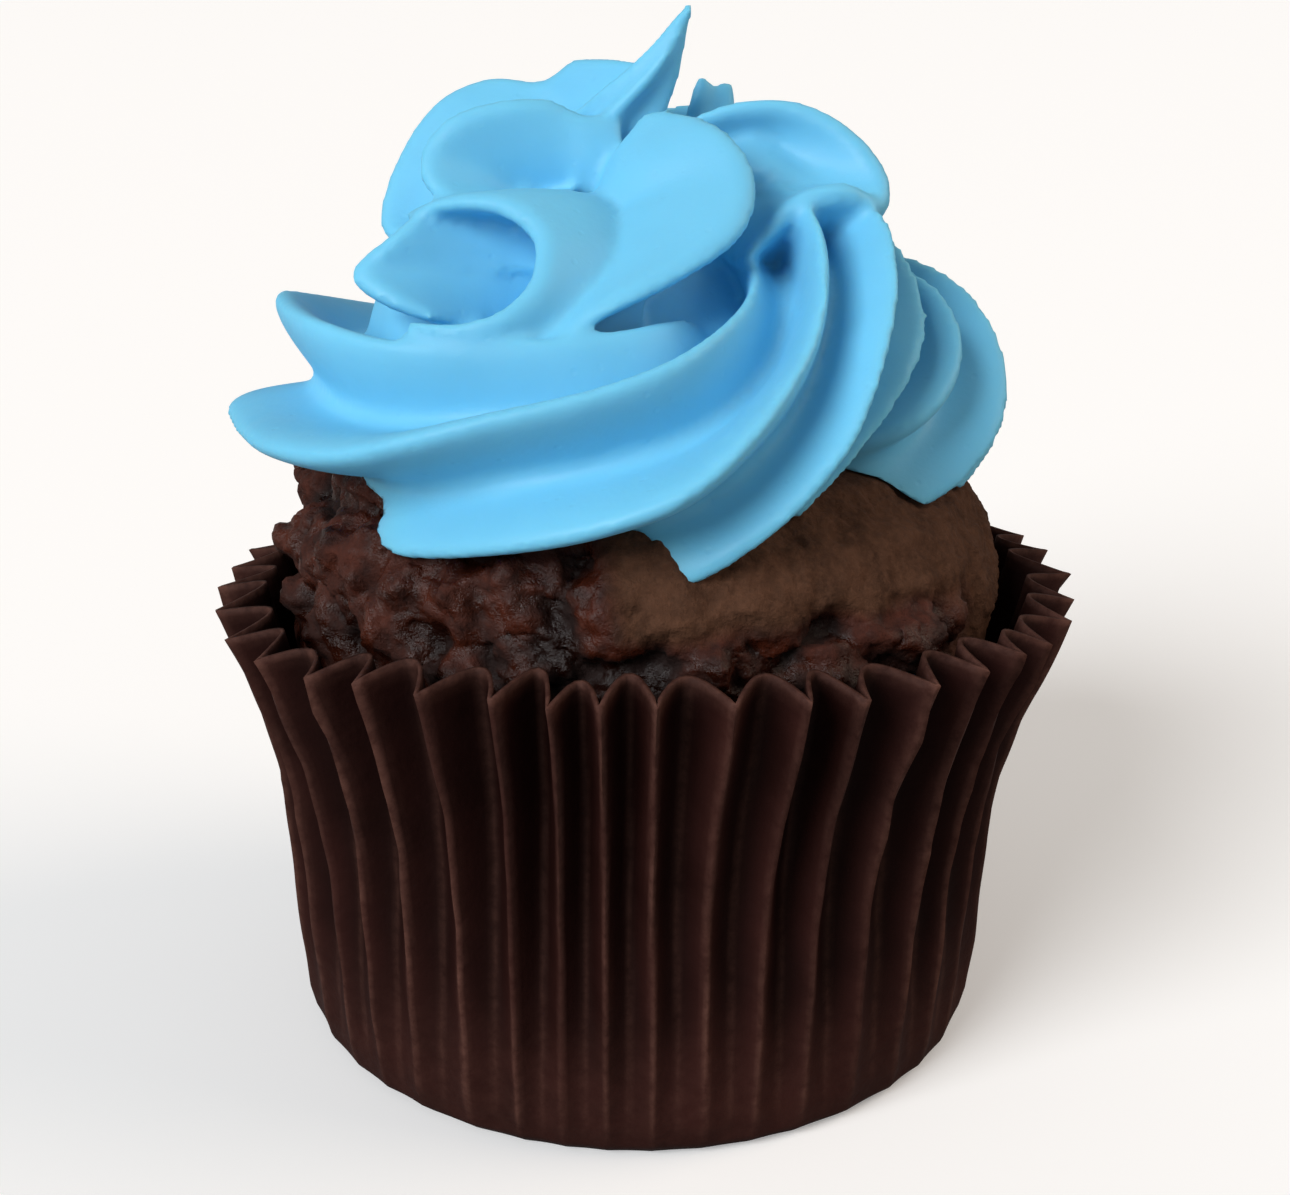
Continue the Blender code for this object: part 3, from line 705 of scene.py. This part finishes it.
def keep_largest(ob):
    """Drop crumbs and closed bubbles, keeping the one outer skin."""
    bm = bmesh.new()
    bm.from_mesh(ob.data)
    left = set(bm.verts)
    shells = []
    while left:
        seed = left.pop()
        shell = {seed}
        stack = [seed]
        while stack:
            v = stack.pop()
            for e in v.link_edges:
                w = e.other_vert(v)
                if w in left:
                    left.discard(w)
                    shell.add(w)
                    stack.append(w)
        shells.append(shell)
    shells.sort(key=len)
    for shell in shells[:-1]:
        bmesh.ops.delete(bm, geom=list(shell), context="VERTS")
    bm.to_mesh(ob.data)
    bm.free()


class CUPCAKE_OT_buttercream(bpy.types.Operator):
    """Pipe the ring, set the folds and the peak on it and grow them together into one body"""
    bl_idname = "cupcake.buttercream"
    bl_label = "Buttercream"

    def execute(self, context):
        sizes = context.scene.cupcake_sizes
        core = raise_rings("core", 96, CORE)
        pieces = [rope("ring", RING, sizes.teeth), rope("upper_ring", UPPER_RING, sizes.teeth, 200, 160),
                  core, pulled_peak()]
        for x, y, z, radius in FILLING:
            deselect()
            bpy.ops.mesh.primitive_uv_sphere_add(
                segments=32, ring_count=20, radius=radius * MM, location=(x * MM, y * MM, z * MM))
            pieces.append(bpy.context.object)
        for name, (crest, root, edge, base, bow) in FOLDS.items():
            pieces.append(fold(name, crest, root, edge, base, bow))
        body = pieces[0]
        make_active(body)
        for ob in pieces:
            ob.select_set(True)
        bpy.ops.object.join()
        body.name = "buttercream_swirl"
        make_active(body)
        bpy.ops.transform.translate(value=(OFF_CENTRE * MM, 0, 0))
        bpy.ops.object.transform_apply(location=True, rotation=True, scale=True)
        apply_modifier(body, "REMESH", mode="VOXEL", voxel_size=sizes.cream_grain)
        apply_modifier(body, "SMOOTH", factor=0.5, iterations=5)
        grown = [(r + 0.15 if r > 0 else 0.0, z + 0.15 * min(1.0, max(0.0, (z - 36) / 10)))
                 for r, z in SPONGE_OUTLINE if z > 20]
        cutter = raise_rings("dome_cutter", 180, fine_outline(grown, lambda r, z: 1.2))
        move_vertices(cutter, tilted(coordinates(cutter)))
        cutter.hide_render = True
        cutter.display_type = "WIRE"
        apply_modifier(body, "BOOLEAN", operation="DIFFERENCE", solver="EXACT", object=cutter)
        bpy.data.objects.remove(cutter, do_unlink=True)
        keep_largest(body)
        finish_piece(body, "buttercream",
                     cream_material(context.scene.cupcake_colours))
        return {"FINISHED"}


# Stage

def floor_material(colours):
    """Pale matte floor that throws back little light, so undersides keep their shade."""
    mat = bpy.data.materials.new("pale_floor")
    n = Nodes(mat)
    path = n.add("ShaderNodeLightPath")
    n.set("Base Color", n.mix(path.outputs["Is Camera Ray"], FLOOR_BOUNCE, tuple(colours.floor)))
    n.set("Roughness", 0.9)
    n.set("Specular IOR Level", 0.1)
    n.set("Emission Color", (1.0, 1.0, 1.0, 1.0))
    n.set("Emission Strength", n.maths("MULTIPLY", path.outputs["Is Camera Ray"], FLOOR_GLOW))
    return mat


class CUPCAKE_OT_stage(bpy.types.Operator):
    """Lay the pale floor, hang the soft lights and set up the camera"""
    bl_idname = "cupcake.stage"
    bl_label = "Stage"

    def execute(self, context):
        scene = context.scene
        colours = scene.cupcake_colours
        deselect()
        bpy.ops.mesh.primitive_plane_add(size=FLOOR_SIZE, location=(0, 0, 0))
        floor = bpy.context.object
        floor.name = "floor"
        floor.data.materials.append(floor_material(colours))

        world = bpy.data.worlds.new("soft_room")
        scene.world = world
        world.use_nodes = True
        tree = world.node_tree
        back = tree.nodes["Background"]
        back.inputs["Color"].default_value = (1.0, 0.98, 0.95, 1.0)
        back.inputs["Strength"].default_value = ROOM_LIGHT
        white = tree.nodes.new("ShaderNodeBackground")
        white.inputs["Color"].default_value = (1, 1, 1, 1)
        path = tree.nodes.new("ShaderNodeLightPath")
        mix = tree.nodes.new("ShaderNodeMixShader")
        tree.links.new(path.outputs["Is Camera Ray"], mix.inputs[0])
        tree.links.new(back.outputs[0], mix.inputs[1])
        tree.links.new(white.outputs[0], mix.inputs[2])
        tree.links.new(mix.outputs[0], tree.nodes["World Output"].inputs[0])

        for name, azimuth, elevation, strength, spread, colour in LAMPS:
            data = bpy.data.lights.new(name, "SUN")
            data.energy = strength
            data.angle = math.radians(spread)
            data.color = colour
            lamp = bpy.data.objects.new(name, data)
            scene.collection.objects.link(lamp)
            az, el = math.radians(azimuth), math.radians(elevation)
            toward = Vector((math.cos(el) * math.cos(az), math.cos(el) * math.sin(az), math.sin(el)))
            lamp.location = toward
            lamp.rotation_euler = toward.to_track_quat("Z", "Y").to_euler()

        data = bpy.data.cameras.new("camera")
        data.sensor_width = 36.0
        data.lens = CAMERA_LENS
        data.clip_start = 0.01
        cam = bpy.data.objects.new("camera", data)
        scene.collection.objects.link(cam)
        tilt = Matrix.Rotation(math.radians(90 - CAMERA_PITCH), 4, "X")
        roll = Matrix.Rotation(math.radians(CAMERA_ROLL), 4, "Z")
        cam.matrix_world = Matrix.Translation(CAMERA_PLACE) @ tilt @ roll
        scene.camera = cam
        scene.view_settings.view_transform = "Standard"
        return {"FINISHED"}


class CUPCAKE_PT_panel(bpy.types.Panel):
    """Lists the sizes, the colours and the pieces"""
    bl_idname = "CUPCAKE_PT_panel"
    bl_label = "Cupcake"
    bl_space_type = "VIEW_3D"
    bl_region_type = "UI"
    bl_category = "Cupcake"

    def draw(self, context):
        layout = self.layout
        for group in (context.scene.cupcake_sizes, context.scene.cupcake_colours):
            box = layout.box()
            for key in group.__annotations__:
                box.prop(group, key)
        for operator in OPERATORS:
            layout.operator(operator.bl_idname)


OPERATORS = (CUPCAKE_OT_paper_case, CUPCAKE_OT_sponge, CUPCAKE_OT_buttercream, CUPCAKE_OT_stage)
CLASSES = (CupcakeSizes, CupcakeColours, *OPERATORS, CUPCAKE_PT_panel)


def register():
    """Make the classes known and hang the properties on the scene."""
    for cls in CLASSES:
        bpy.utils.register_class(cls)
    bpy.types.Scene.cupcake_sizes = bpy.props.PointerProperty(type=CupcakeSizes)
    bpy.types.Scene.cupcake_colours = bpy.props.PointerProperty(type=CupcakeColours)


def unregister():
    """Take the properties and the classes away again."""
    del bpy.types.Scene.cupcake_colours
    del bpy.types.Scene.cupcake_sizes
    for cls in reversed(CLASSES):
        bpy.utils.unregister_class(cls)


def main():
    """Build every piece and the stage."""
    register()
    bpy.ops.cupcake.paper_case()
    bpy.ops.cupcake.sponge()
    bpy.ops.cupcake.buttercream()
    bpy.ops.cupcake.stage()


if __name__ == "__main__":
    main()
